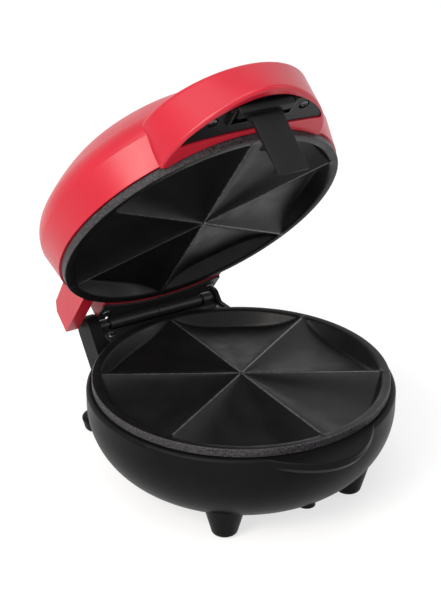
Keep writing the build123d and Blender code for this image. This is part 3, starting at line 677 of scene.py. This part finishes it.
def well_depth(x, y):
    """How far the cooking face of a plate lies from the meeting face."""
    radius = (x * x + y * y) ** 0.5
    if radius < APEX:
        return 0.0
    turn = (Vector((x, y)).angle_signed(Vector((1, 0))) + HALF_WELL) % WELL - HALF_WELL
    along, across = radius * cos(turn), abs(radius * sin(turn))
    half_width = (along - APEX) * tan(HALF_WELL)
    if across < half_width:
        trough = CROWN + FALL * (along - APEX) * (1 - (across / half_width) ** 3)
    else:
        from_middle = radius * sin(HALF_WELL - abs(turn))
        trough = CROWN * (from_middle / RIDGE) ** 2
    wall = (RIM - radius) * WALL_SLOPE
    closeness = max(0.0, 1.0 - abs(trough - wall) / FILLET)
    return max(0.0, min(trough, wall) - closeness * closeness * FILLET / 4)


def well_bearings(radius):
    """Directions round a ring: close together near the ridges' edges, one on each ridge."""
    edge = HALF_WELL - asin(min(NARROW, RIDGE / radius))
    across = [sin(pi / 2 * step / ACROSS) for step in range(-ACROSS, ACROSS + 1)]
    for well in range(6):
        for share in across:
            yield well * WELL + share * edge
        yield well * WELL + HALF_WELL


def collar(shape, side, centre, profile, sides):
    """A closed ring behind a plate; a height of None ends inside the plate's skin."""
    loops = []
    for step in range(sides):
        turn = tau * step / sides
        loop = []
        for radius, height in profile:
            x, y = centre[0] + radius * cos(turn), centre[1] + radius * sin(turn)
            if height is None:
                height = well_depth(x, y) + SKIN / 2
            loop.append(shape.verts.new((x, y, side * height)))
        loops.append(loop)
    for here, there in zip(loops, [*loops[1:], loops[0]]):
        for low, high in zip(range(len(profile)), [*range(1, len(profile)), 0]):
            shape.faces.new((here[low], here[high], there[high], there[low]))


def plate_shape(side):
    """A cast plate with six wedge wells, the seat of its element, and three bosses.

    Its rings run out over the cooking face, round the flange and back in behind; those that
    are dished follow the wells.
    """
    shape = bmesh.new()
    radii = HUB_RINGS + FLOOR_RINGS + WALL_RINGS
    rings = [(radius, 0.0, True) for radius in radii]
    rings += [(RIM + LAND, 0.0, False), (FLANGE - CHAMFER, 0.0, False), (FLANGE, CHAMFER, False)]
    rings += [(FLANGE, FLANGE_HEIGHT, False), (RIM, FLANGE_HEIGHT, False)]
    rings += [(radius, SKIN, True) for radius in reversed(radii[::2])]
    rows = []
    for radius, height, dished in rings:
        row = []
        for turn in well_bearings(radius):
            x, y = radius * cos(turn), radius * sin(turn)
            depth = height + (well_depth(x, y) if dished else 0.0)
            row.append(shape.verts.new((x, y, side * (depth + SEAM))))
        rows.append(row)
    per_well = 2 * ACROSS + 2
    highlighted_rings = len(radii) - CREST_STOPS
    for number, (inner, outer) in enumerate(zip(rows, rows[1:])):
        for here, there in zip(range(len(inner)), [*range(1, len(inner)), 0]):
            face = shape.faces.new((inner[here], inner[there], outer[there], outer[here]))
            # the faces on each ridge's crest take the second finish, the painted highlight
            if number < highlighted_rings and here % per_well >= per_well - 2:
                face.material_index = 1
    for row, height in ((rows[0], 0.0), (rows[-1], SKIN)):
        hub = shape.verts.new((0, 0, side * (height + SEAM)))
        for here, there in zip(range(len(row)), [*range(1, len(row)), 0]):
            shape.faces.new((row[here], row[there], hub))
    seat = [(SEAT_INSIDE, None), (SEAT_OUTSIDE, None), (SEAT_OUTSIDE, SEAT_TOP)]
    for turn in map(radians, GROOVE_TURNS):
        seat.append((TUBE_CIRCLE + TUBE_GROOVE * cos(turn), TUBE_LEVEL - TUBE_GROOVE * sin(turn)))
    seat.append((SEAT_INSIDE, SEAT_TOP))
    collar(shape, side, (0, 0), seat, sides=240)
    middle = [(HUB_BORE, None), (HUB_BOSS, None), (HUB_BOSS, SEAT_TOP), (HUB_BORE, SEAT_TOP)]
    collar(shape, side, (0, 0), middle, sides=48)
    for centre in boss_seats:
        bored = [(BORE, None), (BOSS, None), (BOSS, BOSS_TOP), (BORE, BOSS_TOP)]
        collar(shape, side, centre, bored, sides=40)
    bmesh.ops.recalc_face_normals(shape, faces=shape.faces)
    return shape


# ---------------------------------------------------------------- latch and hinge lip
TAPER_FROM = -20  # below this height a tapered bar is narrower
HOOK_ROOT = -135  # where a hook leaves the strap
HOOK_DROP, HOOK_TIP = 7, 1.2  # a hook's height there and at its tip
LIP_INSIDE, LIP_OUTSIDE, LIP_HALF = 5.5, 6.7, 52.8  # its radii and half its width
LEAF_EDGE, LEAF_TOP, LEAF_UNDER = 120.6, -8.0, -9.2  # where the lip joins the leaf
TAB_MIDDLE, TAB_HALF = 47.4, 5.4  # a tab stands behind each of the two knuckles


def slab(shape, outline, half_width, rounding=0.0, taper=1.0):
    """A bar across X with the given outline in (y, z), its edges rounded if asked."""
    ends = []
    for side in (-1, 1):
        ends.append([
            shape.verts.new((side * half_width * (taper if z < TAPER_FROM else 1.0), y, z))
            for y, z in outline
        ])
    faces = [shape.faces.new(ends[0]), shape.faces.new(reversed(ends[1]))]
    for here, there in zip(range(len(outline)), [*range(1, len(outline)), 0]):
        faces.append(
            shape.faces.new((ends[0][there], ends[0][here], ends[1][here], ends[1][there]))
        )
    bmesh.ops.recalc_face_normals(shape, faces=faces)
    if rounding:
        edges = list({edge for face in faces for edge in face.edges})
        bmesh.ops.bevel(
            shape, geom=edges, offset=rounding, segments=3, affect="EDGES", profile=0.5
        )


def latch_shape():
    """A broad finger bar over a narrower neck, a long strap and two hooks behind it."""
    shape = bmesh.new()
    bar = [(-143.7, 4.8), (-144.0, 9.4), (-142.9, 11.9), (-140.2, 13), (-136.2, 13), (-135.4, 4.8)]
    neck = [(-137.2, 1.5), (-137.2, 7), (-134.4, 7), (-134.4, 1.5)]
    strap = [(-138.4, 3.0), (-134.4, 3.6), (-134.0, -42), (-136.0, -42), (-136.6, -36)]
    slab(shape, bar, half_width=21.8, rounding=0.7)
    slab(shape, neck, half_width=14.0, rounding=0.4)
    slab(shape, strap, half_width=12.5, rounding=0.45, taper=0.945)
    for top, tip in ((-15.4, -125.8), (-35.0, -127.3)):
        hook = [(tip, top), (HOOK_ROOT, top), (HOOK_ROOT, top - HOOK_DROP), (tip, top - HOOK_TIP)]
        slab(shape, hook, half_width=10.5, rounding=0.2)
    return shape


def round_pin(radius, turns):
    """Points in (y, z) on an arc round the hinge pin, for turns in degrees."""
    return [
        (HINGE_PIN.y + radius * cos(radians(turn)), HINGE_PIN.z + radius * sin(radians(turn)))
        for turn in turns
    ]


def lip_shape():
    """The hinge bracket's rolled lip, which cradles the barrel from below and behind."""
    shape = bmesh.new()
    inside = round_pin(LIP_INSIDE, range(14, -148, -9))
    outside = round_pin(LIP_OUTSIDE, range(-138, 15, 8))
    foot = [(LEAF_EDGE, LEAF_TOP), (LEAF_EDGE, LEAF_UNDER)]
    slab(shape, [*inside, *foot, *outside], half_width=LIP_HALF)
    behind = round_pin(LIP_INSIDE, range(44, -13, -8)) + round_pin(LIP_OUTSIDE, range(-12, 45, 8))
    for side in (-1, 1):
        done = set(shape.verts)
        slab(shape, behind, half_width=TAB_HALF)
        tab = [corner for corner in shape.verts if corner not in done]
        bmesh.ops.translate(shape, verts=tab, vec=(side * TAB_MIDDLE, 0, 0))
    return shape


CAST_CREASE = radians(40)  # as for the fittings


def cast(name, shape, body, node, *finishes, stands_in=True):
    """Turns a shape into a piece that stands for a CAD node, or adds to it."""
    shape.transform(PLACE[body])
    mesh = bpy.data.meshes.new(name)
    shape.to_mesh(mesh)
    shape.free()
    for finish in finishes:
        mesh.materials.append(finish)
    mesh.shade_smooth()
    mesh.set_sharp_from_angle(angle=CAST_CREASE)
    piece = bpy.data.objects.new(name, mesh)
    bpy.context.scene.collection.objects.link(piece)
    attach(piece, body)
    if stands_in:
        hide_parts(node)


cast("hinge_bracket_lip", lip_shape(), "base", "hinge_bracket", painted_hinge, stands_in=False)
cast("latch_strap_and_bar", latch_shape(), "latch", "latch", latch_black)
cast("lower_wedge_plate", plate_shape(-1), "base", "lower_plate", lower_coat, ridge_painted_highlight)
cast("upper_wedge_plate", plate_shape(1), "lid", "upper_plate", upper_coat, ridge_painted_highlight)


# ---------------------------------------------------------------- studio and camera
FLOOR_REACH = 12.0
FLOOR_GREY = 0.88
FLOOR_GLOW, GLOW_SHARE = 1.26, 0.55  # the rest of the floor's look is the grey, with the shadow
ROOM_LEVEL = 0.36  # what the world lights the object with
SUN_LEVEL, SUN_SPREAD = 1.15, radians(55)


def unlit_share(tree, share=1.0):
    """The share for the camera and for what shines or is clear, 0 for light on the object."""
    seen = tree.nodes.new("ShaderNodeLightPath")
    total = seen.outputs["Is Camera Ray"]
    for ray in ("Is Glossy Ray", "Is Transmission Ray"):
        either = tree.nodes.new("ShaderNodeMath")
        either.operation = "MAXIMUM"
        tree.links.new(total, either.inputs[0])
        tree.links.new(seen.outputs[ray], either.inputs[1])
        total = either.outputs[0]
    scaled = tree.nodes.new("ShaderNodeMath")
    scaled.operation = "MULTIPLY"
    scaled.inputs[1].default_value = share
    tree.links.new(total, scaled.inputs[0])
    return scaled.outputs[0]


def stage_floor():
    """A pale floor that stays white to the camera and keeps the soft shadow."""
    mesh = bpy.data.meshes.new("floor")
    corners = ((-1, -1), (1, -1), (1, 1), (-1, 1))
    mesh.from_pydata(
        [(x * FLOOR_REACH, y * FLOOR_REACH, 0) for x, y in corners], [], [(0, 1, 2, 3)]
    )
    floor = bpy.data.objects.new("floor", mesh)
    bpy.context.scene.collection.objects.link(floor)
    material = bpy.data.materials.new("pale_floor")
    material.use_nodes = True
    tree = material.node_tree
    tree.nodes.clear()
    matt = tree.nodes.new("ShaderNodeBsdfDiffuse")
    matt.inputs["Color"].default_value = (FLOOR_GREY, FLOOR_GREY, FLOOR_GREY, 1)
    white = tree.nodes.new("ShaderNodeEmission")
    white.inputs["Strength"].default_value = FLOOR_GLOW
    mix = tree.nodes.new("ShaderNodeMixShader")
    end = tree.nodes.new("ShaderNodeOutputMaterial")
    tree.links.new(unlit_share(tree, GLOW_SHARE), mix.inputs[0])
    tree.links.new(matt.outputs[0], mix.inputs[1])
    tree.links.new(white.outputs[0], mix.inputs[2])
    tree.links.new(mix.outputs[0], end.inputs["Surface"])
    mesh.materials.append(material)


def softbox(name, place, target, size, power, colour=(1, 1, 1)):
    """A rectangular area light turned to its target."""
    lamp = bpy.data.lights.new(name, "AREA")
    lamp.color = colour
    lamp.shape = "RECTANGLE"
    lamp.size, lamp.size_y = size
    lamp.energy = power
    holder = bpy.data.objects.new(name, lamp)
    holder.location = place
    turn = (Vector(place) - Vector(target)).to_track_quat("Z", "Y")
    holder.rotation_euler = turn.to_euler()
    bpy.context.scene.collection.objects.link(holder)


def window_light():
    """A broad sun, for an even floor and a soft shadow to the right."""
    sun = bpy.data.lights.new("window_light", "SUN")
    sun.energy = SUN_LEVEL
    sun.angle = SUN_SPREAD
    holder = bpy.data.objects.new("window_light", sun)
    holder.rotation_euler = Vector((-0.55, -0.25, 1.0)).to_track_quat("Z", "Y").to_euler()
    bpy.context.scene.collection.objects.link(holder)


def room_light():
    """An even world: plain level on the object, white to the camera."""
    world = bpy.data.worlds.new("room")
    bpy.context.scene.world = world
    world.use_nodes = True
    tree = world.node_tree
    back = tree.nodes["Background"]
    back.inputs["Color"].default_value = (1, 1, 1, 1)
    level = tree.nodes.new("ShaderNodeMapRange")
    level.inputs["To Min"].default_value = ROOM_LEVEL
    level.inputs["To Max"].default_value = 1.0
    tree.links.new(unlit_share(tree), level.inputs["Value"])
    tree.links.new(level.outputs["Result"], back.inputs["Strength"])


stage_floor()
room_light()
window_light()
cooker = (0, 0, 0.16)
warm = (1.0, 0.95, 0.88)
softbox("left_box", (-1.3, -0.5, 1.05), cooker, size=(0.7, 0.7), power=17, colour=warm)
softbox("top_box", (-0.1, -0.3, 1.7), cooker, size=(1.0, 0.6), power=4)
softbox("right_box", (1.2, -0.9, 0.7), cooker, size=(0.4, 0.9), power=3)

optics = bpy.data.cameras.new("photo_camera")
optics.lens = 102.1
optics.sensor_width = 36
optics.clip_end = 60
camera = bpy.data.objects.new("photo_camera", optics)
camera.location = (-0.59438, -0.94239, 0.68337)
camera.rotation_euler = (radians(63.9595), radians(-0.1438), radians(-31.7320))
bpy.context.scene.collection.objects.link(camera)
bpy.context.scene.camera = camera
bpy.context.scene.view_settings.view_transform = "Standard"

bpy.context.view_layer.update()
